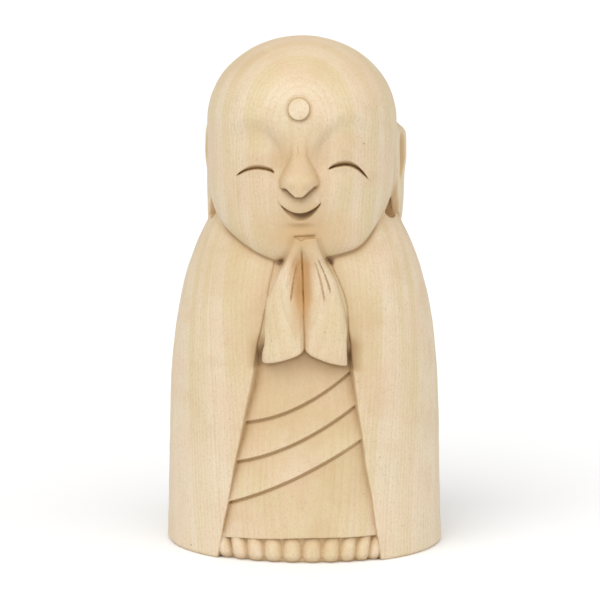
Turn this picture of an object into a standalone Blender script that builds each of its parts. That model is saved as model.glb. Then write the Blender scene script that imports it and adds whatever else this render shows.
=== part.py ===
"""A wooden praying figure, carved in one piece, standing on its flat underside.

The figure faces -Y with its crown up. The carving is described as a field: a number that is
negative in the wood, zero on its surface and positive outside. Inside the field's functions
places and sizes are counted in modules, 198 to the height.
"""
import bmesh
import bpy

# Driving dimensions, in metres
HEIGHT = 0.198
CLOAK_WIDTH = 0.106
CLOAK_DEPTH = 0.082
FOOT_FLARE = 0.0011
FOOT_EDGE = 0.0007
HEAD_WIDTH = 0.0728
HEAD_DEPTH = 0.0765
CROWN_RISE = 0.032
EAR_SPAN = 0.0760
EAR_THICKNESS = 0.0046
HANDS_WIDTH = 0.0328
HANDS_RISE = 0.0020
OPENING_DEPTH = 0.0044
HEM_DEPTH = 0.0012
HEM_HEIGHT = 0.0100
FOLD_STEP = 0.0012
TOE_SETBACK = 0.0008
BUTTON_WIDTH = 0.0084
BUTTON_RISE = 0.0011

# Rounding of the carved edges, in metres
SOFT_EDGE = 0.0009
HEM_ROUNDING = 0.0007
CRISP_EDGE = 0.0004
FINE_EDGE = 0.0002

# The free forms of the carving are shares of the height
MODULE = HEIGHT / 198

FOLDS = 3
TOES_A_SIDE = 5
CELL = 0.0006
TRIANGLES = 9400

# Lines between the fingers: side, share of the half width, lowest and highest place, depth
FINGER_LINES = (
    (-1, 0.36, 100.0, 119.0, 0.6),
    (1, 0.53, 100.0, 121.0, 0.5),
    (1, 0.74, 103.0, 122.0, 0.5),
)

WOOD_COLOUR = (0.76, 0.62, 0.42, 1.0)


class Field:
    """A number that varies over space; arithmetic on it adds nodes to its tree."""

    def __init__(self, socket):
        self.socket = socket

    def __add__(self, other):
        return calculate("ADD", self, other)

    def __radd__(self, other):
        return calculate("ADD", other, self)

    def __sub__(self, other):
        return calculate("SUBTRACT", self, other)

    def __rsub__(self, other):
        return calculate("SUBTRACT", other, self)

    def __mul__(self, other):
        return calculate("MULTIPLY", self, other)

    def __rmul__(self, other):
        return calculate("MULTIPLY", other, self)

    def __truediv__(self, other):
        return calculate("DIVIDE", self, other)

    def __rtruediv__(self, other):
        return calculate("DIVIDE", other, self)

    def __pow__(self, other):
        return calculate("POWER", self, other)

    def __neg__(self):
        return calculate("MULTIPLY", self, -1.0)


def calculate(operation, *values):
    """Add one math node and return its result."""
    tree = next(value.socket.id_data for value in values if isinstance(value, Field))
    node = tree.nodes.new("ShaderNodeMath")
    node.operation = operation
    for socket, value in zip(node.inputs, values):
        if isinstance(value, Field):
            tree.links.new(value.socket, socket)
        else:
            socket.default_value = value
    return Field(node.outputs[0])


def modules(metres):
    """A size in metres, counted in modules."""
    return metres / MODULE


def root(value):
    return calculate("SQRT", value)


def size(value):
    return calculate("ABSOLUTE", value)


def lowest(first, second):
    return calculate("MINIMUM", first, second)


def highest(first, second):
    return calculate("MAXIMUM", first, second)


def join(first, second, blend):
    """Union of two solids with a hollow fillet."""
    return calculate("SMOOTH_MIN", first, second, blend)


def meet(first, second, blend):
    """Common part of two solids with a rounded edge."""
    return calculate("SMOOTH_MAX", first, second, blend)


def share(value, start, end):
    """Rise from 0 at start to 1 at end, held there on both sides."""
    return highest(lowest((value - start) / (end - start), 1.0), 0.0)


def ease(value, start, end):
    """The same rise with soft ends."""
    t = share(value, start, end)
    return t * t * (3.0 - 2.0 * t)


def length(*offsets):
    """Root of the sum of squares."""
    total = offsets[0] * offsets[0]
    for offset in offsets[1:]:
        total = total + offset * offset
    return root(total)


def window(value, start, end, soft):
    """One between start and end, fading to zero over a soft length inside each."""
    return ease(value, start, start + soft) * (1.0 - ease(value, end - soft, end))


def bell(value):
    """One at zero, falling softly to nothing on both sides."""
    return calculate("EXPONENT", -(value * value))


def swelling(across, up, centre, radii):
    """A soft hill of height 1 around a centre given as places across and up."""
    return bell(length((across - centre[0]) / radii[0], (up - centre[1]) / radii[1]))


def dome(across, up, centre, radii):
    """A round cap of height 1 with a crisp rim."""
    u = (across - centre[0]) / radii[0]
    v = (up - centre[1]) / radii[1]
    return root(highest(1.0 - u * u - v * v, 0.0))


def cloak(x, y, z):
    """The bell of cloth: an oval in plan that closes over the shoulders under the head."""
    closing_height = 150.5
    capped_at = 148.0
    flare_height = 55.0
    level = share(z, 0.0, closing_height) * 0.999
    side = root(1.0 - level ** 3.95)
    chest = root(1.0 - level ** 5.6)
    depth = modules(CLOAK_DEPTH) / 2
    half_depth = depth * (side + (chest - side) * share(y, 0.0, -1.0))
    flare = 1.0 - share(z, 0.0, flare_height)
    half_width = modules(CLOAK_WIDTH) / 2 * side + modules(FOOT_FLARE) * flare * flare
    oval = (length(x / half_width, y / half_depth) - 1.0) * depth
    tuck = 1.0 - share(z, 0.0, 2.0 * modules(FOOT_EDGE))
    return highest(oval + modules(FOOT_EDGE) * tuck * tuck, z - capped_at)


def opening(x, z):
    """How far inside the front opening a place is, measured across; negative on the cloak.

    The edges lean in as they rise. The right one stands straighter above the hands' heel, then
    follows the side of the hands.
    """
    half = modules(CLOAK_WIDTH) / 2
    height = modules(HEIGHT)
    wrists = 92.0
    left = (z * (0.717 / height) - 0.604) * half
    lower_right = (0.590 - z * (0.547 / height)) * half
    upper_right = (0.494 - z * (0.302 / height)) * half
    below_wrists = -lowest(z - wrists, 0.0)
    above_wrists = highest(z - wrists, 0.0)
    beside_hands = 0.357 * half + 0.4 * below_wrists - 0.0135 * above_wrists * above_wrists
    right = lowest(highest(lower_right, upper_right), beside_hands)
    return lowest(x - left, right - x)


def hands_heel(x):
    """Height of the lower edge of the two palms, which dips to each side of the middle."""
    aside = x - 2.2
    return 84.4 - 1.68 * root(size(aside)) - 0.05 * highest(aside, 0.0)


def robe(x, z, outer):
    """The robe seen in the opening, with folds that lap over one another, and the foot under it."""
    full_depth_at = 80.0
    foot_depth = 3.4
    fold_spacing = 13.45
    top_fold = 61.7
    fold_slant = 0.51
    hem_bend = 0.00112
    hem_crest = 12.0
    rise = share(z, 0.0, full_depth_at)
    filled = ease(z - hands_heel(x), 1.0, 8.0) * (0.78 + 0.10 * ease(z, 86.0, 105.0))
    deepening = modules(OPENING_DEPTH) - modules(HEM_DEPTH)
    surface = outer + (modules(HEM_DEPTH) + deepening * rise ** 1.2) * (1.0 - filled)
    soft = modules(CRISP_EDGE)
    for fold in range(FOLDS):
        bend = 0.0084 - 0.0029 * fold
        above = z - (top_fold + fold_slant * x + bend * x * x - fold * fold_spacing)
        lap = ease(above, -soft, soft) * (1.0 - share(above, 0.0, fold_spacing))
        surface = surface - modules(FOLD_STEP) * lap
    hem_line = modules(HEM_HEIGHT) - hem_bend * (x - hem_crest) * (x - hem_crest)
    hem = meet(surface, hem_line - z, modules(HEM_ROUNDING))
    foot = meet(outer + foot_depth, z - modules(HEM_HEIGHT) * 1.2, soft)
    return lowest(hem, foot)


def toes(x, y, z):
    """Two rows of toes, the largest in the middle, along the oval of the foot."""
    feet = None
    parting = 1.0
    fullest_at = 3.2
    under = 1.0 - share(z, 0.0, fullest_at)
    over = share(z, fullest_at, 10.5)
    lean = 2.6 * under * under + 2.4 * over * over
    half_cloak = modules(CLOAK_WIDTH) / 2
    furthest = modules(CLOAK_DEPTH / 2 - TOE_SETBACK)
    for side, largest, loss in ((-1, 7.3, 0.42), (1, 7.4, 0.72)):
        start = parting
        for toe in range(TOES_A_SIDE):
            width = largest - loss * toe
            middle = start + side * width / 2
            start = start + side * width
            reach = furthest * (1.0 - (middle / half_cloak) ** 2) ** 0.5
            curve = (0.59 - 0.11 * under * under) * width
            splay = side * 0.05 * toe * (z - fullest_at)
            ahead = lowest(y + reach - curve - lean, 0.0)
            one = length(x - middle - splay, ahead) - curve
            feet = one if feet is None else join(feet, one, 0.5)
    under_hem = z - 1.2 * modules(HEM_HEIGHT)
    return meet(feet, highest(under_hem, y), modules(FINE_EDGE))


def hands(x, y, z):
    """Two palms pressed together, finger tips up, with a valley between them."""
    low = 78.0
    high = 126.3
    middle = 2.2
    rise = share(z, low, high)
    taper = 1.02 * rise ** 3 - 0.31 * share(rise, 0.8, 1.0) ** 1.5
    half = modules(HANDS_WIDTH) / 2 * (1.0 - taper)
    aside = x - middle
    thickness = 6.6 - 1.6 * rise
    front = modules(CLOAK_DEPTH / 2 + HANDS_RISE) - 0.5 * rise * rise
    sideways = size(aside) / half
    ahead = size(lowest(y + front - thickness, 0.0)) / thickness
    palm = ((sideways ** 3.0 + ahead ** 3.0) ** (1 / 3) - 1.0) * 4.5
    from_line = x - (middle - 1.3 * share(z, 88.0, high))
    hollow = window(z, 97.0, 124.0, 9.0)
    valley = (1.6 + 0.8 * hollow) * bell(from_line / (1.2 + 1.8 * hollow))
    palm = palm + valley * (1.0 - 0.75 * ease(z, 120.0, 125.0))
    for side, place, line_low, line_high, depth in FINGER_LINES:
        off = size(side * aside / half - place) * half / 0.6
        palm = palm + depth * highest(1.0 - off, 0.0) * window(z, line_low, line_high, 5.0)
    heel = meet(highest(palm, y), hands_heel(x) - z, 1.6)
    notch = 0.9 * swelling(x, z, (0.9, high), (1.1, 6.0))
    return meet(heel, z - high + notch, 0.6)


def skull(x, y, z):
    """The bare head: an upright egg, its chin tucked down over the chest."""
    nape_height = 152.0
    chin_height = 111.0
    jaw_bend = 100.0
    jaw_rounding = 22.0
    radius = modules(HEAD_WIDTH) / 2
    crown = modules(CROWN_RISE)
    across = x + 0.9
    along = y + 1.2
    top = highest(z - (modules(HEIGHT) - crown), 0.0) * (radius / crown)
    nape = highest(nape_height - z, 0.0) * 0.8 * ease(along, -8.0, 32.0)
    round_form = length(across, along * (HEAD_WIDTH / HEAD_DEPTH), top + nape) - radius
    front = along + modules(HEAD_DEPTH) / 2
    beyond = highest(across - 24.0, 0.0)
    under = chin_height + across * across / jaw_bend + 0.02 * beyond * beyond + 0.17 * front
    return meet(round_form, under - z, jaw_rounding)


def closed_eye(x, z, side, centre, height, bends, opens, thins, inner_end, depth):
    """A cut under the upper lid, an arc that bends and thins its own way to each end."""
    away = side * (x - centre)
    outside = ease(away, -1.5, 1.5)
    bend = bends[0] + (bends[1] - bends[0]) * outside
    thin = thins[0] + (thins[1] - thins[0]) * outside
    square = away * away
    lower = height - bend * square
    open_by = highest(opens - thin * square, 0.0) * share(away, inner_end - 0.5, inner_end + 0.5)
    upper = lower + open_by
    into = share(z, upper + 0.3, lower + 0.2) ** 1.1 * ease(z, lower - 0.2, lower + 0.1)
    return -depth * into * lowest(open_by * 1.6, 1.0)


def upper_lip_line(x):
    """Height of the upper lip's lower edge."""
    return 135.5 + 0.062 * (x - 0.3) * (x - 0.3)


def face_cuts(x, z):
    """The closed eyes and the mouth, cut into the face."""
    left = closed_eye(x, z, -1, -15.0, 151.55, (0.040, 0.0435), 1.5, (0.0171, 0.0169), -5.3, 1.3)
    right = closed_eye(x, z, 1, 16.6, 152.85, (0.037, 0.080), 1.9, (0.0516, 0.0233), -5.9, 1.6)
    lip_top = upper_lip_line(x)
    lip_low = 132.8 + 0.1125 * (x - 0.5) * (x - 0.5)
    from_end = (x - 0.2) / 8.3
    mouth_ends = highest(1.0 - from_end * from_end, 0.0) ** 0.75 * (0.65 + 0.35 * ease(x, -4.0, 2.0))
    below_lip = 1.0 - ease(z, lip_top - 0.1, lip_top + 0.4)
    rise = share(z, lip_low - 0.2, highest(lip_top, lip_low + 0.05)) ** 0.7
    return left + right - 2.4 * rise * below_lip * mouth_ends


def face_relief(x, z):
    """How far the face stands proud of the plain head."""
    side = size(x)
    level = z - 0.04 * x
    brow_line = 170.6 - 0.068 * (side - 18.0) * (side - 18.0)
    under_brow = ease(level, brow_line + 2.0, brow_line - 4.5) * window(side, 2.0, 30.0, 8.0)
    sockets = -1.1 * under_brow * ease(level, 146.0, 164.0)
    inner = -1.2 * swelling(side, level, (8.8, 155.5), (3.8, 8.0))
    lids = 0.9 * swelling(side, level, (17.2, 158.0), (8.0, 4.6))
    cheeks = 0.5 * swelling(side, z, (17.0, 146.0), (8.0, 6.0))
    muzzle = swelling(x, z, (0.0, 138.5), (9.0, 5.0))
    chin = 0.6 * swelling(x, z, (0.0, 122.5), (9.0, 5.5))
    dimple = -0.7 * swelling(x, z, (0.5, 130.2), (5.5, 2.2))
    jowl = 1.7 * swelling(x, z, (23.0, 121.5), (8.5, 8.0))
    lip_top = upper_lip_line(x)
    above_lip = ease(z, lip_top - 0.1, lip_top + 0.4) * (1.0 - ease(z, lip_top + 1.5, lip_top + 8.0))
    upper_lip = 0.8 * above_lip * window(x, -8.6, 9.0, 2.5)
    lower_lip = 0.5 * swelling(x, z, (0.6, 131.9), (4.4, 1.1))
    forms = sockets + inner + lids + cheeks + muzzle + chin + dimple + jowl
    return forms + upper_lip + lower_lip


def nose_relief(x, z):
    """A short broad nose with two round wings and a blunt point below."""
    side = size(x - 0.1)
    half = 3.2 + 4.4 * ease(z, 159.0, 147.0)
    across = lowest(side / half, 1.0)
    crest = 0.3 * ease(z, 166.0, 161.0) + 4.1 * ease(z, 165.0, 145.0)
    body = crest * (1.0 - across ** 2.4)
    tip = 0.7 * swelling(x, z, (0.2, 146.5), (3.4, 3.6))
    wings = 0.9 * dome(side, z, (4.7, 147.5), (3.4, 3.2)) ** 2
    under = 141.8 + lowest(0.85 * highest(size(x - 0.1) - 1.4, 0.0), 3.3 + 0.07 * x)
    return (body + tip + wings) * ease(z, under, under + 0.7)


def ears(x, y, z):
    """Long ears with a raised rim, a hollow that faces forward and outward, and hanging lobes."""
    middle_height = 145.4
    half_height = 19.2
    side = size(x - 0.1)
    to_right = highest(lowest(x, 1.0), -1.0)
    drop = share(z, 160.0, 130.0)
    shell = 0.65 * ease(z, 144.0, 151.0) - (2.6 + 2.4 * to_right) * share(z, 159.5, 165.5) ** 2
    outer = modules(EAR_SPAN) / 2 - 0.05 + shell
    half_length = 7.0 - 2.4 * drop
    middle = 3.0 - 2.0 * drop
    along = size(y - middle) / half_length
    up = size(z - middle_height) / half_height
    leaf = ((along ** 2.6 + up ** 2.6) ** (1 / 2.6) - 1.0) * half_length
    half_thick = modules(EAR_THICKNESS) / 2 * (0.87 - 0.10 * drop)
    turned = (0.30 - 0.15 * drop) * (y - middle - 0.5 * half_length)
    across = side - (outer - half_thick) - turned
    rooted = 12.0 * ease(y, -2.5, 0.5)
    plate = highest(across, -across - rooted) - half_thick
    from_hollow = length((y - middle + 0.4) / (4.3 - 1.5 * drop), (z - 152.0) / 10.0)
    hollow = 1.8 * (1.0 - ease(from_hollow, 0.62, 1.0))
    return meet(leaf, plate + hollow, 1.2)


def under_ear(x, y, z):
    """Two small pockets cut in the shoulders between cheek and ear lobe."""
    right = length((x - 33.2) / 3.8, (y + 5.0) / 8.0, (z - 134.0) / 5.6) - 1.0
    left = length((x + 35.3) / 2.4, (y + 4.0) / 7.0, (z - 132.5) / 4.4) - 1.0
    return lowest(right, left) * 3.0


def figure(x, y, z):
    """The whole carving as one field, in modules."""
    robe_under_cloak = 8.0
    toes_under_cloak = 1.0
    opening_slope = 0.45
    crisp = modules(CRISP_EDGE)
    outer = cloak(x, y, z)
    gap = opening(x, z)
    mantle = meet(outer, lowest(gap + opening_slope * outer, -y), modules(SOFT_EDGE))
    mantle = meet(mantle, -under_ear(x, y, z), modules(SOFT_EDGE))
    body = lowest(mantle, meet(robe(x, z, outer), -gap - robe_under_cloak, crisp))
    body = lowest(body, meet(toes(x, y, z), -gap - toes_under_cloak, crisp))
    face = share(y, 0.0, -12.0)
    from_button = length(x + 0.1, z - 174.5) - modules(BUTTON_WIDTH) / 2
    button = modules(BUTTON_RISE) * (1.0 - ease(from_button, -crisp, crisp))
    relief = face_relief(x, z) + face_cuts(x, z) + nose_relief(x, z) + button
    head = join(skull(x, y, z) - relief * face, ears(x, y, z), 0.2 + 2.6 * ease(z, 133.0, 144.0))
    fillet = 0.2 + 0.6 * ease(size(x), 26.0, 30.0) + 3.8 * ease(y, -3.0, 20.0)
    bust = join(body, head, fillet)
    return join(bust, hands(x, y, z), 0.6)


def carving_tree():
    """Geometry nodes that fill a grid with the field and skin its surface."""
    tree = bpy.data.node_groups.new("carving", "GeometryNodeTree")
    tree.interface.new_socket("Geometry", in_out="OUTPUT", socket_type="NodeSocketGeometry")
    place = tree.nodes.new("GeometryNodeInputPosition")
    parts = tree.nodes.new("ShaderNodeSeparateXYZ")
    tree.links.new(place.outputs[0], parts.inputs[0])
    x, y, z = (Field(socket) / MODULE for socket in parts.outputs)
    density = -figure(x, y, z)
    grid = tree.nodes.new("GeometryNodeVolumeCube")
    tree.links.new(density.socket, grid.inputs["Density"])
    grid.inputs["Background"].default_value = -1.0
    margin = 3 * CELL
    nose_reach = HEAD_DEPTH / 2 + 7.0 * MODULE
    reach = max(CLOAK_DEPTH / 2 + HANDS_RISE, nose_reach)
    low = (-CLOAK_WIDTH / 2 - FOOT_FLARE - margin, -reach - margin, -4 * CELL)
    high = (CLOAK_WIDTH / 2 + FOOT_FLARE + margin, CLOAK_DEPTH / 2 + margin, HEIGHT + margin)
    grid.inputs["Min"].default_value = low
    grid.inputs["Max"].default_value = high
    for axis, name in enumerate(("Resolution X", "Resolution Y", "Resolution Z")):
        grid.inputs[name].default_value = round((high[axis] - low[axis]) / CELL)
    skin = tree.nodes.new("GeometryNodeVolumeToMesh")
    skin.inputs["Threshold"].default_value = 0.0
    tree.links.new(grid.outputs[0], skin.inputs["Volume"])
    result = tree.nodes.new("NodeGroupOutput")
    tree.links.new(skin.outputs[0], result.inputs[0])
    return tree


def evaluated_mesh(figure_object):
    """The object's mesh with its modifiers applied."""
    state = bpy.context.evaluated_depsgraph_get()
    return bpy.data.meshes.new_from_object(figure_object.evaluated_get(state))


def drop_specks(work):
    """Keep the largest shell: crumbs of a few cells may lie where forms just touch."""
    waiting = set(work.verts)
    shells = []
    while waiting:
        shell = {waiting.pop()}
        edge_of_shell = list(shell)
        while edge_of_shell:
            corner = edge_of_shell.pop()
            near = {edge.other_vert(corner) for edge in corner.link_edges} & waiting
            waiting -= near
            shell |= near
            edge_of_shell.extend(near)
        shells.append(shell)
    shells.sort(key=len)
    for shell in shells[:-1]:
        bmesh.ops.delete(work, geom=list(shell), context="VERTS")


def skinned(figure_object):
    """Skin the field, thin the skin to the wanted count and cut the base flat."""
    carve = figure_object.modifiers.new("carve", "NODES")
    carve.node_group = carving_tree()
    skin = evaluated_mesh(figure_object)
    figure_object.modifiers.clear()
    figure_object.data = skin
    skin_triangles = sum(len(face.vertices) - 2 for face in skin.polygons)
    thin = figure_object.modifiers.new("thin", "DECIMATE")
    thin.ratio = TRIANGLES / skin_triangles
    figure_object.data = evaluated_mesh(figure_object)
    figure_object.modifiers.clear()
    work = bmesh.new()
    work.from_mesh(figure_object.data)
    drop_specks(work)
    everything = work.verts[:] + work.edges[:] + work.faces[:]
    cut = bmesh.ops.bisect_plane(work, geom=everything, plane_no=(0.0, 0.0, 1.0), clear_inner=True)
    rim = [part for part in cut["geom_cut"] if isinstance(part, bmesh.types.BMEdge)]
    for corner in {corner for edge in rim for corner in edge.verts}:
        corner.co.z = 0.0
    bmesh.ops.contextual_create(work, geom=rim)
    bmesh.ops.triangulate(work, faces=work.faces[:])
    bmesh.ops.recalc_face_normals(work, faces=work.faces[:])
    work.to_mesh(figure_object.data)
    work.free()
    figure_object.data.shade_smooth()
    figure_object.data.set_sharp_from_angle(angle=0.7)


def wood():
    """Pale, close-grained wood with a hand-rubbed surface."""
    material = bpy.data.materials.new("pale_wood")
    material.use_nodes = True
    shader = material.node_tree.nodes["Principled BSDF"]
    shader.inputs["Base Color"].default_value = WOOD_COLOUR
    shader.inputs["Roughness"].default_value = 0.55
    shader.inputs["Metallic"].default_value = 0.0
    return material


def main():
    for leftover in list(bpy.data.objects):
        bpy.data.objects.remove(leftover, do_unlink=True)
    mesh = bpy.data.meshes.new("jizo_figure")
    statue = bpy.data.objects.new("jizo_figure", mesh)
    bpy.context.scene.collection.objects.link(statue)
    skinned(statue)
    statue.data.materials.clear()
    statue.data.materials.append(wood())


main()
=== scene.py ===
"""Looks of a small praying figure, carved in one piece from pale wood and waxed by hand.

The carving is worked out as a field: a number that is negative in the wood, zero on its surface
and positive outside. Geometry nodes skin it and mark its hollows, where the patina lies and where
shade is painted. Places in the carving are counted in modules, 198 to the height, so a module is a
millimetre at real size.
"""
import math

import bmesh
import bpy
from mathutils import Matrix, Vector


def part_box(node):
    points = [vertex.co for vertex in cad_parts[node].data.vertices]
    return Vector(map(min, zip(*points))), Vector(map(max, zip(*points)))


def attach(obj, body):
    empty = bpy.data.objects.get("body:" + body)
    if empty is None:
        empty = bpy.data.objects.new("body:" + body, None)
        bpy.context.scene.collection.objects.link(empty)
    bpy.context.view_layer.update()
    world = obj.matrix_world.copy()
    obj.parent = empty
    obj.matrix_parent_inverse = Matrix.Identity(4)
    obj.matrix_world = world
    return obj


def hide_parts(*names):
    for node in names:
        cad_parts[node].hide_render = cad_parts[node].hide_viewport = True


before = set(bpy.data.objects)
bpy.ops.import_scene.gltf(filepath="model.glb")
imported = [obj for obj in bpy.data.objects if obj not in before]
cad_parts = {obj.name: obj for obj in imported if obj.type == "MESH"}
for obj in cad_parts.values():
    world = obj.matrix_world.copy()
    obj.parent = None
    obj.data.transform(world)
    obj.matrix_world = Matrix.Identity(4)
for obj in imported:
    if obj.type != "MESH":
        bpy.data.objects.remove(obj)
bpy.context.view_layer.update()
LOW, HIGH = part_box("jizo_figure")

# Sizes of the carving, in metres
HEIGHT = HIGH.z - LOW.z
SIZES = {
    "Height": HEIGHT,
    "Cloak width": 0.106,
    "Cloak depth": 0.082,
    "Foot flare": 0.0011,
    "Foot edge": 0.0007,
    "Head width": 0.0728,
    "Head depth": 0.0765,
    "Crown rise": 0.032,
    "Ear span": 0.0760,
    "Ear thickness": 0.0046,
    "Hands width": 0.0328,
    "Hands reach": 0.0430,
    "Opening depth": 0.0044,
    "Hem depth": 0.0012,
    "Hem height": 0.0100,
    "Fold step": 0.0011,
    "Toe reach": 0.0402,
    "Button width": 0.0084,
    "Button rise": 0.0010,
}
CELL = 0.00033
TRIANGLES = 194000


class Value:
    """A number socket of a node tree; arithmetic on it adds Math nodes."""

    def __init__(self, bench, socket):
        self.bench = bench
        self.socket = socket

    def __add__(self, other):
        return self.bench.maths("ADD", self, other)

    def __radd__(self, other):
        return self.bench.maths("ADD", other, self)

    def __sub__(self, other):
        return self.bench.maths("SUBTRACT", self, other)

    def __rsub__(self, other):
        return self.bench.maths("SUBTRACT", other, self)

    def __mul__(self, other):
        return self.bench.maths("MULTIPLY", self, other)

    def __rmul__(self, other):
        return self.bench.maths("MULTIPLY", other, self)

    def __truediv__(self, other):
        return self.bench.maths("DIVIDE", self, other)

    def __rtruediv__(self, other):
        return self.bench.maths("DIVIDE", other, self)

    def __pow__(self, other):
        return self.bench.maths("POWER", self, other)

    def __neg__(self):
        return self.bench.maths("MULTIPLY", self, -1.0)


class Bench:
    """A node tree and the ways of adding to it."""

    def __init__(self, tree):
        self.tree = tree

    def node(self, kind, settings=None, feeds=None):
        """Add a node: its settings first, then the values or links of its sockets."""
        node = self.tree.nodes.new(kind)
        for name, setting in (settings or {}).items():
            setattr(node, name, setting)
        for name, feed in (feeds or {}).items():
            if isinstance(feed, Value):
                feed = feed.socket
            if isinstance(feed, bpy.types.NodeSocket):
                self.tree.links.new(feed, node.inputs[name])
            else:
                node.inputs[name].default_value = feed
        return node

    def maths(self, operation, *values):
        node = self.node("ShaderNodeMath", {"operation": operation}, dict(enumerate(values)))
        return Value(self, node.outputs[0])

    def vector(self, operation, *values, scale=None):
        feeds = dict(enumerate(values))
        if scale is not None:
            feeds["Scale"] = scale
        return self.node("ShaderNodeVectorMath", {"operation": operation}, feeds).outputs[0]

    def apart(self, vector):
        """The three numbers of a vector."""
        parts = self.node("ShaderNodeSeparateXYZ", feeds={0: vector})
        return [Value(self, socket) for socket in parts.outputs]

    def together(self, x, y, z):
        return self.node("ShaderNodeCombineXYZ", feeds={0: x, 1: y, 2: z}).outputs[0]

    def noise(self, place, scale, detail=2.0, roughness=0.5):
        """Soft noise from 0 to 1, with its grain at 1 / scale."""
        feeds = {"Vector": place, "Scale": scale, "Detail": detail, "Roughness": roughness}
        return Value(self, self.node("ShaderNodeTexNoise", feeds=feeds).outputs[0])

    def mark(self, name):
        """A number stored on the points of the mesh."""
        return Value(self, self.node("ShaderNodeAttribute", {"attribute_name": name}).outputs["Fac"])


def root(value):
    return value.bench.maths("SQRT", value)


def size(value):
    return value.bench.maths("ABSOLUTE", value)


def sine(value):
    return value.bench.maths("SINE", value)


def lowest(first, second):
    return first.bench.maths("MINIMUM", first, second)


def highest(first, second):
    return first.bench.maths("MAXIMUM", first, second)


def join(first, second, blend):
    """Union of two solids with a hollow fillet."""
    return first.bench.maths("SMOOTH_MIN", first, second, blend)


def meet(first, second, blend):
    """Common part of two solids with a rounded edge."""
    return first.bench.maths("SMOOTH_MAX", first, second, blend)


def share(value, start, end):
    """Rise from 0 at start to 1 at end, held there on both sides."""
    return highest(lowest((value - start) / (end - start), 1.0), 0.0)


def ease(value, start, end):
    """The same rise with soft ends."""
    t = share(value, start, end)
    return t * t * (3.0 - 2.0 * t)


def window(value, start, end, soft):
    """One between start and end, fading to zero over a soft length inside each."""
    return ease(value, start, start + soft) * (1.0 - ease(value, end - soft, end))


def length(*offsets):
    """Root of the sum of squares."""
    total = offsets[0] * offsets[0]
    for offset in offsets[1:]:
        total = total + offset * offset
    return root(total)


def bell(value):
    """One at zero, falling softly to nothing on both sides."""
    return value.bench.maths("EXPONENT", -(value * value))


def swelling(across, up, centre, radii):
    """A soft hill of height 1 around a centre given as places across and up."""
    return bell(length((across - centre[0]) / radii[0], (up - centre[1]) / radii[1]))


def dome(across, up, centre, radii):
    """A round cap of height 1 with a crisp rim."""
    u = (across - centre[0]) / radii[0]
    v = (up - centre[1]) / radii[1]
    return root(highest(1.0 - u * u - v * v, 0.0))


def cloak(s, x, y, z):
    """The bell of cloth: an oval in plan that closes over the shoulders under the head."""
    level = share(z, 0.0, 150.5) * 0.999
    side = root(1.0 - level ** 3.95)
    chest = root(1.0 - level ** 5.6)
    half_depth = s["Cloak depth"] / 2 * (side + (chest - side) * share(y, 0.0, -1.0))
    flare = 1.0 - share(z, 0.0, 55.0)
    half_width = s["Cloak width"] / 2 * side + s["Foot flare"] * flare * flare
    oval = (length(x / half_width, y / half_depth) - 1.0) * s["Cloak depth"] / 2
    tuck = 1.0 - share(z, 0.0, 2.0 * s["Foot edge"])
    return highest(oval + s["Foot edge"] * tuck * tuck, z - 148.0)


def opening(s, x, z):
    """How far inside the front opening a place is, measured across; negative on the cloak."""
    half = s["Cloak width"] / 2
    wander = 0.12 * sine(z / 8.5) + 0.10 * sine(z / 3.7 + 1.0)
    left = (z * (0.717 / 198) - 0.604) * half + wander
    lower_right = (0.590 - z * (0.547 / 198)) * half
    upper_right = (0.494 - z * (0.302 / 198)) * half
    above_wrists = z - 92.0
    beside_hands = 18.9 - 0.4 * lowest(above_wrists, 0.0) - 0.0135 * highest(above_wrists, 0.0) ** 2
    right = lowest(highest(lower_right, upper_right), beside_hands)
    return lowest(x - left, right + wander - x)


def hands_heel(x):
    """Height of the lower edge of the two palms."""
    aside = x - 2.2
    return 84.4 - 1.68 * root(size(aside)) - 0.05 * highest(aside, 0.0)


def robe(s, x, z, outer):
    """The robe seen in the opening, with folds that lap over one another."""
    rise = share(z, 0.0, 80.0)
    behind_hands = ease(z - hands_heel(x), 1.0, 8.0) * (0.78 + 0.10 * ease(z, 86.0, 105.0))
    depth = s["Hem depth"] + (s["Opening depth"] - s["Hem depth"]) * rise ** 1.2
    surface = outer + depth * (1.0 - behind_hands)
    spacing = 13.45
    for fold in range(3):
        bend = 0.0084 - 0.0029 * fold
        line = 61.7 + 0.51 * x + bend * x * x - fold * spacing
        above = z - line
        lap = ease(above, -0.35, 0.15) * (1.0 - share(above, 0.0, spacing))
        cut = 0.50 * window(above, -1.7, 0.1, 0.8)
        surface = surface - s["Fold step"] * lap + cut
    hem_line = s["Hem height"] - 0.00112 * (x - 12.0) * (x - 12.0)
    hem = meet(surface, hem_line - z, 0.6)
    foot = meet(outer + 3.4, z - 1.2 * s["Hem height"], 0.3)
    return lowest(hem, foot)


def toes(s, x, y, z):
    """Two rows of toes, the largest in the middle, along the oval of the foot."""
    feet = None
    under = 1.0 - share(z, 0.0, 3.2)
    over = share(z, 3.2, 10.5)
    lean = 2.6 * under * under + 2.4 * over * over
    for side, largest, loss in ((-1, 7.3, 0.42), (1, 7.4, 0.72)):
        start = 1.0
        for toe in range(5):
            width = largest - loss * toe
            middle = start + side * width / 2 + side * 0.05 * toe * (z - 4.0)
            start = start + side * width
            reach = s["Toe reach"] * root(1.0 - (middle / (s["Cloak width"] / 2)) ** 2)
            curve = (0.59 - 0.11 * under * under) * width
            ahead = lowest(y + reach - curve - lean, 0.0)
            one = length(x - middle, ahead) - curve
            feet = one if feet is None else join(feet, one, 0.5)
    return meet(feet, highest(z - 1.2 * s["Hem height"], y), 0.2)


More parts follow.
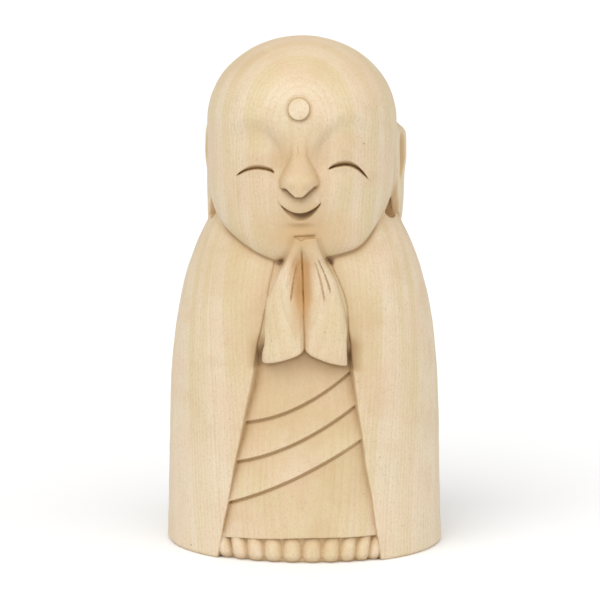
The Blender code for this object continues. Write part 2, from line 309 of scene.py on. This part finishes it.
# Lines between the fingers: side, share of the half width, lowest and highest place, depth
FINGER_LINES = (
    (-1, 0.27, 103.0, 120.0, 0.16),
    (-1, 0.36, 100.0, 119.0, 0.50),
    (-1, 0.45, 106.0, 122.0, 0.20),
    (-1, 0.54, 104.0, 122.0, 0.22),
    (-1, 0.72, 108.0, 122.0, 0.14),
    (1, 0.38, 106.0, 122.0, 0.16),
    (1, 0.53, 100.0, 121.0, 0.36),
    (1, 0.63, 106.0, 123.0, 0.18),
    (1, 0.74, 103.0, 122.0, 0.34),
)


def hands(s, x, y, z):
    """Two palms pressed together, finger tips up, with a valley between them."""
    low, high, middle = 78.0, 126.3, 2.2
    rise = share(z, low, high)
    taper = 1.02 * rise ** 3 - 0.31 * share(rise, 0.8, 1.0) ** 1.5
    half = s["Hands width"] / 2 * (1.0 - taper)
    aside = x - middle
    thickness = 6.6 - 1.6 * rise
    front = s["Hands reach"] - 0.5 * rise * rise
    sideways = size(aside) / half
    ahead = size(lowest(y + front - thickness, 0.0)) / thickness
    palm = ((sideways ** 3.0 + ahead ** 3.0) ** 0.3333 - 1.0) * 4.5
    from_line = x - (middle - 1.3 * share(z, 88.0, high))
    hollow = window(z, 97.0, 124.0, 9.0)
    valley = (0.8 + 1.4 * hollow) * bell(from_line / (1.6 + 1.4 * hollow))
    slit = (0.30 + 0.45 * hollow) * highest(1.0 - size(from_line) / 0.36, 0.0)
    palm = palm + (valley + slit) * (1.0 - 0.75 * ease(z, 120.0, 125.0))
    for side, place, line_low, line_high, depth in FINGER_LINES:
        off = size(side * aside / half - place) * half / 0.42
        palm = palm + depth * highest(1.0 - off, 0.0) * window(z, line_low, line_high, 5.0)
    body = highest(palm, y)
    heel = meet(body, hands_heel(x) - z, 1.6)
    notch = 0.9 * swelling(x, z, (0.9, high), (1.1, 6.0))
    return meet(heel, z - high + notch, 0.6)


def skull(s, x, y, z):
    """The bare head: an upright egg, its chin tucked down over the chest."""
    across = x + 0.9
    along = y + 1.2
    top = highest(z - (s["Height"] - s["Crown rise"]), 0.0) * (s["Head width"] / 2 / s["Crown rise"])
    nape = highest(152.0 - z, 0.0) * 0.8 * ease(along, -8.0, 32.0)
    round_form = length(across, along * (s["Head width"] / s["Head depth"]), top + nape)
    front = along + s["Head depth"] / 2
    beyond = highest(across - 24.0, 0.0)
    under = 111.0 + across * across / 100.0 + 0.02 * beyond * beyond + 0.17 * front
    return meet(round_form - s["Head width"] / 2, under - z, 22.0)


def closed_eye(x, z, side, centre, height, bends, opens, thins, inner_end, depth):
    """A cut under the upper lid, an arc that bends and thins its own way to each end."""
    away = side * (x - centre)
    outside = ease(away, -1.5, 1.5)
    bend = bends[0] + (bends[1] - bends[0]) * outside
    thin = thins[0] + (thins[1] - thins[0]) * outside
    square = away * away
    lower = height - bend * square
    open_by = highest(opens - thin * square, 0.0) * share(away, inner_end - 0.5, inner_end + 0.5)
    upper = lower + open_by
    into = share(z, upper + 0.3, lower + 0.2) ** 1.3 * ease(z, lower - 0.1, lower + 0.1)
    lip = 0.40 * ease(z, lower - 2.8, lower) * ease(z, lower + 0.15, lower) * lowest(open_by, 1.0)
    return lip - 1.1 * depth * into * lowest(open_by * 1.6, 1.0)


def upper_lip_line(x):
    """Height of the upper lip's lower edge."""
    return 135.5 + 0.062 * (x - 0.3) * (x - 0.3)


def face_cuts(x, z):
    """The closed eyes and the mouth, cut into the face."""
    left = closed_eye(x, z, -1, -15.0, 151.55, (0.040, 0.0435), 1.5, (0.0171, 0.0169), -5.3, 1.2)
    right = closed_eye(x, z, 1, 16.6, 152.85, (0.037, 0.080), 1.9, (0.0516, 0.0233), -5.9, 1.6)
    lip_top = upper_lip_line(x)
    lip_low = 132.8 + 0.1125 * (x - 0.5) * (x - 0.5)
    from_end = (x - 0.2) / 8.3
    mouth_ends = highest(1.0 - from_end * from_end, 0.0) ** 0.75
    deeper_right = 0.65 + 0.35 * ease(x, -4.0, 2.0)
    below_lip = 1.0 - ease(z, lip_top - 0.1, lip_top + 0.3)
    rise = share(z, lip_low - 0.2, highest(lip_top, lip_low + 0.05)) ** 0.7
    return left + right - 2.4 * rise * below_lip * (mouth_ends * deeper_right)


def face_relief(x, z):
    """How far the face stands proud of the plain head."""
    side = size(x)
    level = z - 0.04 * x
    brow_line = 170.6 - 0.068 * (side - 18.0) * (side - 18.0)
    under_brow = ease(level, brow_line + 2.0, brow_line - 4.5) * window(side, 2.0, 30.0, 8.0)
    sockets = -1.1 * under_brow * ease(level, 146.0, 164.0)
    inner = -1.2 * swelling(side, level, (8.8, 155.5), (3.8, 8.0))
    lids = 0.9 * swelling(side, level, (17.2, 158.0), (8.0, 4.6))
    cheeks = 0.5 * swelling(side, z, (17.0, 146.0), (8.0, 6.0))
    muzzle = 1.0 * swelling(x, z, (0.0, 138.5), (9.0, 5.0))
    chin = 0.6 * swelling(x, z, (0.0, 122.5), (9.0, 5.5))
    dimple = -0.7 * swelling(x, z, (0.5, 130.2), (5.5, 2.2))
    jowl = 1.7 * swelling(x, z, (23.0, 121.5), (8.5, 8.0))
    lip_top = upper_lip_line(x)
    upper_lip = ease(z, lip_top - 0.1, lip_top + 0.3) * (1.0 - ease(z, lip_top + 1.5, lip_top + 8.0))
    upper_lip = 0.8 * upper_lip * window(x, -8.6, 9.0, 2.5)
    lip = 0.5 * swelling(x, z, (0.6, 131.9), (4.4, 1.1))
    tip_line = -0.5 * window(x, -2.8, 6.6, 1.5) * bell((z - 126.5 - 0.05 * x) / 0.5)
    forms = sockets + inner + lids + cheeks + muzzle + chin + dimple + jowl
    return forms + upper_lip + lip + tip_line


def nose_base(x):
    """Height of the lower edge of the nose: a blunt point that rises to the wings."""
    return 141.8 + lowest(0.85 * highest(size(x - 0.1) - 1.4, 0.0), 3.3 + 0.07 * x)


def nose_relief(x, z):
    """A short broad nose with two round wings and a blunt point below."""
    side = size(x - 0.1)
    half = 3.2 + 4.4 * ease(z, 159.0, 147.0)
    across = lowest(side / half, 1.0)
    crest = 0.3 * ease(z, 166.0, 161.0) + 3.9 * ease(z, 165.0, 145.0)
    body = crest * (1.0 - across ** 2.4)
    tip = 0.7 * swelling(x, z, (0.2, 146.5), (3.4, 3.6))
    wings = 0.9 * dome(side, z, (4.7, 147.5), (3.4, 3.2)) ** 2
    base = nose_base(x)
    return (body + tip + wings) * ease(z, base, base + 0.6)


def ears(s, x, y, z):
    """Long ears with a raised rim, a hollow that faces forward and outward, and hanging lobes."""
    side = size(x - 0.1)
    drop = share(z, 160.0, 130.0)
    to_right = highest(lowest(x, 1.0), -1.0)
    shell = 0.65 * ease(z, 144.0, 151.0) - (2.6 + 2.4 * to_right) * share(z, 159.5, 165.5) ** 2
    outer = s["Ear span"] / 2 - 0.05 + shell
    half_length = 7.0 - 2.4 * drop
    middle_y = 3.0 - 2.0 * drop
    along = size(y - middle_y) / half_length
    up = size(z - 145.4) / 19.2
    leaf = ((along ** 2.6 + up ** 2.6) ** 0.385 - 1.0) * half_length
    half_thick = s["Ear thickness"] / 2 * (0.87 - 0.10 * drop)
    turned = (0.30 - 0.15 * drop) * (y - middle_y - 0.5 * half_length)
    across = side - (outer - half_thick) - turned
    rooted = 12.0 * ease(y, -2.5, 0.5)
    plate = highest(across, -across - rooted) - half_thick
    inner = length((y - middle_y + 0.4) / (4.3 - 1.5 * drop), (z - 152.0) / 10.0)
    hollow = 2.0 * (1.0 - ease(inner, 0.62, 1.0))
    fold = 0.9 * swelling(y, z, (2.0, 153.0), (1.1, 5.0))
    return meet(leaf, plate + hollow - fold, 1.2)


def under_ear(x, y, z):
    """Two small pockets cut in the shoulders between cheek and ear lobe."""
    right = length((x - 33.2) / 3.8, (y + 5.0) / 8.0, (z - 134.0) / 5.6) - 1.0
    left = length((x + 35.3) / 2.4, (y + 4.0) / 7.0, (z - 132.5) / 4.4) - 1.0
    return lowest(right, left) * 3.0


def seam(first, second, reach):
    """One along the line where two surfaces meet, falling to nothing within the reach."""
    return highest(1.0 - (size(first) + size(second)) / reach, 0.0)


def figure(s, x, y, z):
    """The whole carving as one field, the depth of its dark cuts with painted shade in its creases and
    under the nose, and the depth under the cloak.
    """
    outer = cloak(s, x, y, z)
    gap = opening(s, x, z)
    mantle = meet(outer, lowest(gap + 0.45 * outer, -y), 0.9)
    mantle = meet(mantle, -under_ear(x, y, z), 0.8)
    body = lowest(mantle, meet(robe(s, x, z, outer), -gap - 8.0, 0.3))
    body = lowest(body, meet(toes(s, x, y, z), -gap - 1.0, 0.3))
    face = share(y, 0.0, -12.0)
    from_button = length(x + 0.1, z - 174.5) - s["Button width"] / 2
    button = s["Button rise"] * (1.0 - ease(from_button, -0.35, 0.1))
    ring = 0.2 * (1.0 - share(size(from_button - 0.35), 0.0, 0.5))
    cuts = face_cuts(x, z)
    relief = face_relief(x, z) + cuts + nose_relief(x, z) + button - ring
    head = skull(s, x, y, z) - relief * face
    head = join(head, ears(s, x, y, z), 0.2 + 2.6 * ease(z, 133.0, 144.0))
    fillet = 0.2 + 0.6 * ease(size(x), 26.0, 30.0) + 3.8 * ease(y, -3.0, 20.0)
    bust = join(body, head, fillet)
    palms = hands(s, x, y, z)
    # Grooves under the jaw, under the palms' heel and beside the finger tips; the same lines are also
    # painted dark in the cut mark as painted shade.
    under_jaw = seam(body, head, 1.1) * ease(-y, 10.0, 24.0)
    under_palms = seam(bust, palms, 2.2) * ease(z, 92.0, 84.0) * ease(-y, 20.0, 28.0)
    chin_gap = bell(length(size(x - 2.2) - 8.8, z - 116.2) / 1.8)
    chin_gap = chin_gap * ease(palms, 0.0, 0.6) * ease(-y, 20.0, 28.0)
    # A painted shadow under the nose, carried only in the dark cut mark.
    painted_nose_shadow = bell((z - nose_base(x) + 0.4) / 0.7) * ease(size(x - 0.1), 7.6, 6.0) * face
    line = under_jaw * (0.65 + 0.35 * ease(x, -8.0, 8.0)) + under_palms
    line = line + chin_gap * (1.2 + 0.5 * ease(x, 0.0, 5.0))
    field = join(bust, palms, 0.6) + 0.7 * line
    # Dark colour for the eye and mouth cuts, partly patina and partly painted shade, with painted shade
    # along the creases and under the nose.
    dark_cuts_and_painted_shade = 1.5 * line + 1.3 * painted_nose_shadow - cuts * face
    return field, dark_cuts_and_painted_shade, -outer


def carving_group():
    """A node group that gives the field and the depths of its cuts, with painted shade in creases and
    under the nose, at a place.
    """
    tree = bpy.data.node_groups.new("carving_field", "GeometryNodeTree")
    tree.interface.new_socket("Place", in_out="INPUT", socket_type="NodeSocketVector")
    for name, metres in SIZES.items():
        socket = tree.interface.new_socket(name, in_out="INPUT", socket_type="NodeSocketFloat")
        socket.default_value = metres
    for name in ("Field", "Cut", "Recess"):
        tree.interface.new_socket(name, in_out="OUTPUT", socket_type="NodeSocketFloat")
    bench = Bench(tree)
    given = bench.node("NodeGroupInput").outputs
    module = Value(bench, given["Height"]) / 198.0
    sizes = {name: Value(bench, given[name]) / module for name in SIZES}
    place = bench.vector("SCALE", given["Place"], scale=1.0 / module)
    x, y, z = bench.apart(place)
    uneven = bench.noise(place, 0.09, detail=1.0) - 0.5
    field, cut, recess = figure(sizes, x, y, z)
    field = (field + 0.45 * uneven + 0.08) * module
    bench.node("NodeGroupOutput", feeds={"Field": field, "Cut": cut, "Recess": recess})
    return tree


def named_inputs(tree, extra):
    """Give a geometry tree its mesh, its named sizes and extra numbers, and return their sockets."""
    tree.interface.new_socket("Geometry", in_out="INPUT", socket_type="NodeSocketGeometry")
    tree.interface.new_socket("Geometry", in_out="OUTPUT", socket_type="NodeSocketGeometry")
    for name in (*SIZES, *extra):
        tree.interface.new_socket(name, in_out="INPUT", socket_type="NodeSocketFloat")
    return Bench(tree), tree.nodes.new("NodeGroupInput").outputs


def carving_at(bench, group, given, place):
    """The outputs of the carving's group at a place."""
    feeds = {name: given[name] for name in SIZES}
    return bench.node("GeometryNodeGroup", {"node_tree": group}, {"Place": place, **feeds}).outputs


def field_at(bench, group, given, place):
    """The carving's field at a place, in metres."""
    return Value(bench, carving_at(bench, group, given, place)["Field"])


def finish_tree(bench, geometry, material):
    """End a geometry tree with real geometry in its material."""
    real = bench.node("GeometryNodeRealizeInstances", feeds={0: geometry})
    clad = bench.node("GeometryNodeSetMaterial", feeds={"Geometry": real.outputs[0], "Material": material})
    bench.node("NodeGroupOutput", feeds={0: clad.outputs[0]})


def skin_tree(group, material):
    """Fill a grid with the field and skin its zero surface."""
    tree = bpy.data.node_groups.new("skin_of_carving", "GeometryNodeTree")
    bench, given = named_inputs(tree, ("Cell",))
    position = bench.node("GeometryNodeInputPosition").outputs[0]
    density = -field_at(bench, group, given, position)
    cell = Value(bench, given["Cell"])
    height = Value(bench, given["Height"])
    half_width = Value(bench, given["Cloak width"]) / 2 + Value(bench, given["Foot flare"]) + 3.0 * cell
    back = Value(bench, given["Cloak depth"]) / 2 + 3.0 * cell
    front = height * (45.5 / 198)
    top = height + 3.0 * cell
    bottom = 4.0 * cell
    grid = bench.node("GeometryNodeVolumeCube", feeds={
        "Density": density,
        "Background": -1.0,
        "Min": bench.together(-half_width, -front, -bottom),
        "Max": bench.together(half_width, back, top),
        "Resolution X": 2.0 * half_width / cell,
        "Resolution Y": (front + back) / cell,
        "Resolution Z": (bottom + top) / cell,
    })
    skin = bench.node("GeometryNodeVolumeToMesh", feeds={"Volume": grid.outputs[0], "Threshold": 0.0})
    finish_tree(bench, skin.outputs[0], material)
    return tree


# How far out the hollows are felt, in metres; the hollows darken the wood as patina and as painted shade
REACHES = {"hollow_fine": 0.0009, "hollow_wide": 0.0026, "hollow_broad": 0.010}


def dressing_tree(group, material):
    """Draw the skin onto the true surface and mark its hollows, where patina gathers and shade is painted.
    """
    tree = bpy.data.node_groups.new("dressing_of_carving", "GeometryNodeTree")
    bench, given = named_inputs(tree, ("Probe",))
    probe = Value(bench, given["Probe"])
    geometry = given["Geometry"]
    position = bench.node("GeometryNodeInputPosition").outputs[0]
    normal = bench.node("GeometryNodeInputNormal").outputs[0]
    carving = carving_at(bench, group, given, position)
    here = Value(bench, carving["Field"])
    ahead = bench.vector("ADD", position, bench.vector("SCALE", normal, scale=probe))
    slope = highest((field_at(bench, group, given, ahead) - here) / probe, 0.4)
    step = lowest(highest(-here / slope, -0.4 * probe), 0.4 * probe)
    offset = bench.vector("SCALE", normal, scale=step)
    lifted = bench.node("GeometryNodeInputPosition").outputs[0]
    above_floor = Value(bench, bench.node("ShaderNodeSeparateXYZ", feeds={0: lifted}).outputs[2])
    upper = bench.maths("GREATER_THAN", above_floor, probe)
    moved = bench.node("GeometryNodeSetPosition", feeds={
        "Geometry": geometry, "Selection": upper, "Offset": offset})
    geometry = moved.outputs[0]
    across = bench.vector("NORMALIZE", bench.vector("CROSS_PRODUCT", normal, (0.21, 0.13, 0.97)))
    along = bench.vector("CROSS_PRODUCT", normal, across)
    marks = {"cut": carving["Cut"], "recess": carving["Recess"]}
    for name, reach in REACHES.items():
        hollow = 0.0
        for tangent, turn in ((across, 1.0), (across, -1.0), (along, 1.0), (along, -1.0)):
            slanted = bench.vector("ADD", normal, bench.vector("SCALE", tangent, scale=turn))
            away = bench.vector("ADD", position, bench.vector("SCALE", slanted, scale=0.71 * reach))
            felt = field_at(bench, group, given, away) / slope
            hollow = hollow + 0.25 * (1.0 - share(felt, -0.3 * reach, 0.7 * reach))
        marks[name] = hollow
    for name, mark in marks.items():
        store = bench.node("GeometryNodeStoreNamedAttribute", {"data_type": "FLOAT", "domain": "POINT"}, {
            "Geometry": geometry, "Name": name, "Value": mark})
        geometry = store.outputs[0]
    finish_tree(bench, geometry, material)
    return tree


def worked(piece, tree, extra):
    """The piece's mesh after a geometry tree, with the tree's named inputs set."""
    modifier = piece.modifiers.new(tree.name, "NODES")
    modifier.node_group = tree
    for item in tree.interface.items_tree:
        if item.item_type == "SOCKET" and item.in_out == "INPUT" and item.name != "Geometry":
            modifier[item.identifier] = {**SIZES, **extra}[item.name]
    return baked(piece)


def baked(piece):
    """Turn the evaluated piece into a plain mesh and take its modifiers off."""
    graph = bpy.context.evaluated_depsgraph_get()
    piece.data = bpy.data.meshes.new_from_object(piece.evaluated_get(graph))
    piece.modifiers.clear()
    return piece.data


def cut_underside(mesh):
    """Keep the largest shell and close it flat on the floor."""
    work = bmesh.new()
    work.from_mesh(mesh)
    waiting = set(work.verts)
    shells = []
    while waiting:
        shell = {waiting.pop()}
        growing = list(shell)
        while growing:
            corner = growing.pop()
            near = {edge.other_vert(corner) for edge in corner.link_edges} & waiting
            waiting -= near
            shell |= near
            growing.extend(near)
        shells.append(shell)
    shells.sort(key=len)
    for shell in shells[:-1]:
        bmesh.ops.delete(work, geom=list(shell), context="VERTS")
    everything = work.verts[:] + work.edges[:] + work.faces[:]
    cut = bmesh.ops.bisect_plane(work, geom=everything, plane_no=(0.0, 0.0, 1.0), clear_inner=True)
    rim = [part for part in cut["geom_cut"] if isinstance(part, bmesh.types.BMEdge)]
    for corner in {corner for edge in rim for corner in edge.verts}:
        corner.co.z = 0.0
    bmesh.ops.contextual_create(work, geom=rim)
    bmesh.ops.triangulate(work, faces=work.faces[:])
    bmesh.ops.recalc_face_normals(work, faces=work.faces[:])
    work.to_mesh(mesh)
    work.free()


def carve(material):
    """The carved figure as one plain mesh."""
    piece = bpy.data.objects.new("carved_figure", bpy.data.meshes.new("carved_figure"))
    bpy.context.scene.collection.objects.link(piece)
    group = carving_group()
    skin = worked(piece, skin_tree(group, material), {"Cell": CELL})
    thin = piece.modifiers.new("thin", "DECIMATE")
    thin.ratio = TRIANGLES / sum(len(face.vertices) - 2 for face in skin.polygons)
    cut_underside(baked(piece))
    worked(piece, dressing_tree(group, material), {"Probe": 0.0004})
    piece.data.shade_smooth()
    piece.data.set_sharp_from_angle(angle=math.radians(50))
    return piece


# Dark specks in the wood at the front: place across, height and radius, in modules
SPECKS = (
    (23.8, 160.4, 0.40),
    (-42.7, 2.8, 0.45),
    (9.9, 91.1, 0.35),
    (-14.0, 96.5, 0.30),
    (30.5, 41.0, 0.30),
)


def coloured(bench, factor, first, second):
    """Blend of two colours by a factor from 0 to 1."""
    node = bench.node("ShaderNodeMix", {"data_type": "RGBA"}, {0: factor, 6: first, 7: second})
    return node.outputs[2]


def carved_wood():
    """Pale wood, waxed: growth rings, fibres, pores, and a brown patina in the hollows with painted shade
    there.
    """
    material = bpy.data.materials.new("carved_wood_waxed")
    material.use_nodes = True
    bench = Bench(material.node_tree)
    shader = material.node_tree.nodes["Principled BSDF"]
    place = bench.node("ShaderNodeTexCoord").outputs["Object"]
    place = bench.vector("SCALE", place, scale=1000.0)
    x, y, z = bench.apart(place)

    # Growth rings round a pith in front of the figure, leaning a little
    wobble = bench.noise(bench.together(x / 30.0, y / 30.0, z / 90.0), 1.0, detail=3.0) - 0.5
    ring_x = x - 1.0 + 0.02 * (z - 120.0)
    ring_y = y + 62.0 - 0.10 * (z - 160.0)
    radius = length(ring_x, ring_y) + 5.0 * wobble
    along_radius = bench.together(radius, 0.0, 0.0)
    rhythm = bench.noise(along_radius, 0.21, detail=2.0)
    turns = radius / 1.65 + 1.6 * rhythm
    phase = bench.maths("FRACT", turns)
    late = ease(phase, 0.25, 0.9) * (1.0 - ease(phase, 0.92, 1.0))
    strength = ease(rhythm, 0.35, 0.7)
    rings = late * (0.35 + 0.65 * strength)

    # Long fibres, soft bands, mottling and pores
    fibres = bench.noise(bench.together(x / 0.5, y / 0.5, z / 22.0), 1.0, detail=3.0, roughness=0.65)
    bands = bench.noise(bench.together(radius / 6.0, 0.0, z / 160.0), 1.0, detail=1.0)
    mottle = bench.noise(place, 0.07, detail=4.0, roughness=0.6)
    blush = bench.noise(bench.vector("ADD", place, (40.0, 7.0, 90.0)), 0.05, detail=3.0)
    grain = bench.noise(bench.together(x, y, z / 1.6), 1.6, detail=2.0, roughness=0.75)
    speck = bench.noise(bench.together(x / 0.45, y / 0.45, z / 1.5), 1.0, detail=1.0)

    straw = (0.62, 0.515, 0.325, 1.0)
    cream = (0.66, 0.555, 0.400, 1.0)
    pale = (0.70, 0.61, 0.47, 1.0)
    rose = (0.66, 0.500, 0.355, 1.0)
    honey = (0.52, 0.350, 0.175, 1.0)
    tan = (0.44, 0.285, 0.135, 1.0)
    brown = (0.27, 0.155, 0.064, 1.0)
    umber = (0.17, 0.088, 0.034, 1.0)
    amber = (0.47, 0.260, 0.095, 1.0)
    wood = coloured(bench, ease(bands, 0.38, 0.62), straw, cream)
    wood = coloured(bench, 0.55 * ease(blush, 0.44, 0.62), wood, rose)
    wood = coloured(bench, 0.28 * ease(mottle, 0.46, 0.70), wood, honey)
    wood = coloured(bench, 0.40 * ease(z, 75.0, 25.0) * ease(size(x), 24.0, 36.0), wood, pale)
    wood = coloured(bench, 0.28 * rings, wood, honey)
    wood = coloured(bench, 0.30 * ease(fibres, 0.48, 0.75), wood, honey)
    wood = coloured(bench, 0.45 * ease(grain, 0.45, 0.80), wood, tan)
    wood = coloured(bench, 0.50 * ease(speck, 0.70, 0.80), wood, brown)
    for across, up, radius in SPECKS:
        spot = share(length(x - across, z - up), radius, 0.5 * radius) * ease(-y, 0.0, 5.0)
        wood = coloured(bench, 0.75 * spot, wood, brown)
    in_front = ease(-y, 20.0, 32.0)
    hook = 0.27 * (z - 159.6) - 0.4 * sine(1.3 * z)
    crack = share(size(x + 0.25 - hook), 0.34, 0.10) * window(z, 156.6, 161.2, 0.8) * in_front
    wood = coloured(bench, 0.60 * crack, wood, brown)

    # Patina and painted shade: brown in the cuts and tan in the hollows, each partly patina and partly
    # painted shade, and an amber stain between the palms
    fine, wide, broad = (bench.mark(name) for name in REACHES)
    cut, recess = bench.mark("cut"), bench.mark("recess")
    uneven = 0.6 + 0.8 * mottle
    # Honey tint round the mouth and the nose bridge and on the crown; on the chin and the left shoulder it
    # is painted shade.
    mouth = 0.40 * swelling(x, z, (0.0, 140.0), (15.0, 16.0))
    chin = 0.80 * swelling(x, z, (0.0, 127.0), (14.0, 8.0))
    bridge = 0.50 * swelling(x, z, (-1.0, 157.0), (13.0, 9.0))
    crown = 0.25 * ease(z, 176.0, 188.0)
    left_shoulder_shade = 0.35 * swelling(x, z, (-30.0, 112.0), (12.0, 12.0))
    tint_and_painted_shade = (mouth + chin + bridge) * in_front + (crown + left_shoulder_shade) * ease(-y, 0.0, 12.0)
    wood = coloured(bench, uneven * tint_and_painted_shade, wood, honey)
    # Honey in the opening behind the cloak's edge: painted shade where the recess falls into shade.
    wood = coloured(bench, 0.50 * uneven * ease(recess, 0.8, 3.0), wood, honey)
    # Honey, tan and brown by how closed in a place is: patina and painted shade together.
    wood = coloured(bench, 0.85 * uneven * share(broad, 0.10, 0.75), wood, honey)
    # Places where the patina and painted shade of the hollows are lessened: beside the hands, under the
    # ears, along the cloak's right edge, and among the toes.
    beside_hands = ease(size(x - 2.2), 8.0, 12.0) * window(z, 84.0, 120.0, 8.0)
    under_ears = ease(size(x), 27.0, 30.0) * window(z, 124.0, 142.0, 5.0)
    right_edge = ease(x, 14.0, 22.0) * ease(z, 80.0, 50.0)
    hollow_shade_lessened = highest(highest(beside_hands, under_ears), highest(right_edge, ease(z, 12.0, 9.0)))
    wood = coloured(bench, (0.85 - 0.65 * hollow_shade_lessened) * uneven * share(wide, 0.03, 0.50), wood, tan)
    wood = coloured(bench, (0.90 - 0.70 * hollow_shade_lessened) * ease(fine, 0.18, 0.80), wood, brown)
    # Less of the dark cut colour at the left of the mouth and at the outer ends of the eyes; that colour
    # is partly patina and partly painted shade.
    lighter_mouth_left = 0.45 * swelling(x, z, (-5.5, 137.0), (3.5, 3.0))
    lighter_eye_ends = 0.35 * ease(size(x), 16.0, 21.0) * ease(z, 144.0, 147.0)
    wood = coloured(bench, (0.80 - lighter_mouth_left - lighter_eye_ends) * ease(cut, 0.3, 1.6), wood, umber)
    on_palms = ease(-y, 34.0, 37.0) * ease(size(x - 1.2), 6.5, 1.0)
    stain = on_palms * ease(z, 84.0, 106.0) * ease(z, 123.0, 116.0)
    wood = coloured(bench, stain * (0.65 + 0.5 * fibres), wood, amber)
    roughness = 0.42 + 0.12 * grain + 0.10 * fibres + 0.15 * fine
    height = 0.5 * fibres + 0.35 * grain + 0.3 * rings
    bump = bench.node("ShaderNodeBump", feeds={"Strength": 0.25, "Distance": 0.0002, "Height": height})
    material.node_tree.links.new(wood, shader.inputs["Base Color"])
    material.node_tree.links.new(roughness.socket, shader.inputs["Roughness"])
    material.node_tree.links.new(bump.outputs[0], shader.inputs["Normal"])
    shader.inputs["IOR"].default_value = 1.45
    return material


def plain(name, colour, roughness):
    material = bpy.data.materials.new(name)
    material.use_nodes = True
    shader = material.node_tree.nodes["Principled BSDF"]
    shader.inputs["Base Color"].default_value = colour
    shader.inputs["Roughness"].default_value = roughness
    return material


def toward(azimuth, elevation):
    """Unit vector to a place round the figure: azimuth 0 is its front, +90 its right-hand +X side."""
    a, e = math.radians(azimuth), math.radians(elevation)
    return Vector((math.sin(a) * math.cos(e), -math.cos(a) * math.cos(e), math.sin(e)))


# The view: where the camera looks, how far off it stands and how much it takes in, in metres
AIM = Vector((-0.0017, 0.0, 0.095))
CAMERA_DISTANCE = 1.1
CAMERA_AZIMUTH, CAMERA_ELEVATION = 3.0, 11.0
VIEW_WIDTH = 0.2334
SENSOR = 36.0


def add_camera():
    data = bpy.data.cameras.new("camera")
    data.sensor_width = SENSOR
    data.lens = SENSOR * CAMERA_DISTANCE / VIEW_WIDTH
    camera = bpy.data.objects.new("camera", data)
    back = toward(CAMERA_AZIMUTH, CAMERA_ELEVATION)
    camera.location = AIM + back * CAMERA_DISTANCE
    camera.rotation_euler = (-back).to_track_quat("-Z", "Y").to_euler()
    bpy.context.scene.collection.objects.link(camera)
    bpy.context.scene.camera = camera


def add_light(name, azimuth, elevation, spread, strength):
    """A wide soft light from far off; spread is the angle it fills as seen from the figure."""
    data = bpy.data.lights.new(name, "SUN")
    data.angle = math.radians(spread)
    data.energy = strength
    light = bpy.data.objects.new(name, data)
    back = toward(azimuth, elevation)
    light.location = AIM + back
    light.rotation_euler = (-back).to_track_quat("-Z", "Y").to_euler()
    bpy.context.scene.collection.objects.link(light)


# The studio, in metres: how far the floor reaches and how far it lies under the figure
FLOOR_REACH = 12.0
FLOOR_DROP = 0.00005
SKY_STRENGTH = 0.62


def add_floor():
    """A plain pale floor just under the figure."""
    mesh = bpy.data.meshes.new("floor")
    reach = FLOOR_REACH
    corners = [(-reach, -reach, 0.0), (reach, -reach, 0.0), (reach, reach, 0.0), (-reach, reach, 0.0)]
    mesh.from_pydata(corners, [], [(0, 1, 2, 3)])
    floor = bpy.data.objects.new("floor", mesh)
    floor.location.z = LOW.z - FLOOR_DROP
    mesh.materials.append(plain("pale_floor", (0.86, 0.86, 0.86, 1.0), 0.9))
    bpy.context.scene.collection.objects.link(floor)


def add_sky():
    world = bpy.data.worlds.new("studio")
    world.use_nodes = True
    sky = world.node_tree.nodes["Background"]
    sky.inputs["Color"].default_value = (1.0, 1.0, 1.0, 1.0)
    sky.inputs["Strength"].default_value = SKY_STRENGTH
    bpy.context.scene.world = world


add_camera()
add_floor()
add_sky()
add_light("key_light", azimuth=-32.0, elevation=50.0, spread=55.0, strength=1.75)
add_light("fill_light", azimuth=48.0, elevation=40.0, spread=70.0, strength=1.0)
figure_piece = carve(carved_wood())
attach(figure_piece, "root")
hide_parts("jizo_figure")
bpy.context.scene.view_settings.view_transform = "Standard"
